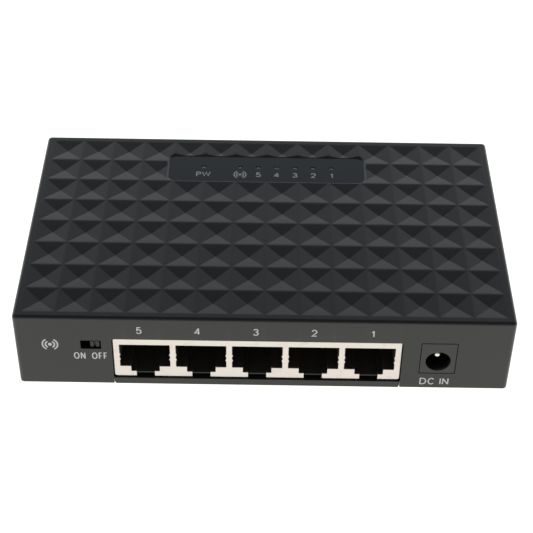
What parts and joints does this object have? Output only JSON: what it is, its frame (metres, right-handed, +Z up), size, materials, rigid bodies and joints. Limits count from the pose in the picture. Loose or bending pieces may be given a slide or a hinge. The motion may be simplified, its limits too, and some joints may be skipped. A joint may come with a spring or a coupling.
{
  "type": "desktop network switch",
  "caption": "Small black desktop network switch with a faceted lid, a row of shielded network sockets, a round power socket and a slide switch on its front.",
  "frame": {"origin": "under the middle of the case, at the height of the surface its feet stand on", "axes": "+Z up, the sockets face -Y, +X to the right as the sockets are seen"},
  "size_m": [0.1228, 0.074, 0.024],
  "materials": {
    "shell_black": "satin moulded plastic",
    "foot_rubber": "matt",
    "screw_steel": "plated",
    "board_green": "solder mask over laminate",
    "nickel_plate": "nickel-plated sheet",
    "moulded_black": "satin",
    "contact_gold": "gold-plated springs in their moulded plate",
    "guide_clear": "clear",
    "lamp_resin": "translucent resin",
    "phenolic_brown": "pressed laminate",
    "capacitor_sleeve": "shrunk sleeve",
    "ferrite_grey": "fired ferrite"
  },
  "bodies": {
    "case": {"board_screw_left": "screw_steel", "board_screw_right": "screw_steel", "bottom_cover": "shell_black", "capacitor_input": "capacitor_sleeve", "capacitor_output": "capacitor_sleeve", "contact_set_1": "contact_gold", "contact_set_2": "contact_gold", "contact_set_3": "contact_gold", "contact_set_4": "contact_gold", "contact_set_5": "contact_gold", "cover_screw_back_left": "screw_steel", "cover_screw_back_right": "screw_steel", "cover_screw_front_left": "screw_steel", "cover_screw_front_right": "screw_steel", "crystal": "nickel_plate", "dc_jack_body": "moulded_black", "dc_jack_pin": "nickel_plate", "dc_jack_spring": "nickel_plate", "diode": "moulded_black", "foot_back_left": "foot_rubber", "foot_back_right": "foot_rubber", "foot_front_left": "foot_rubber", "foot_front_right": "foot_rubber", "inductor": "ferrite_grey", "jack_housing": "moulded_black", "jack_shield": "nickel_plate", "led_link": "lamp_resin", "led_port_1": "lamp_resin", "led_port_2": "lamp_resin", "led_port_3": "lamp_resin", "led_port_4": "lamp_resin", "led_port_5": "lamp_resin", "led_power": "lamp_resin", "light_guide": "guide_clear", "main_board": "board_green", "regulator": "moulded_black", "switch_base": "phenolic_brown", "switch_chip": "moulded_black", "switch_frame": "nickel_plate", "top_cover": "shell_black", "transformer_1": "moulded_black", "transformer_2": "moulded_black", "transformer_3": "moulded_black", "transformer_4": "moulded_black", "transformer_5": "moulded_black"},
    "knob": {"switch_knob": "moulded_black"}
  },
  "joints": [
    {"name": "switch_slide", "type": "slide", "parent": "case", "child": "knob", "axis": [-1, 0, 0], "range_m": [0, 0.002]}
  ]
}
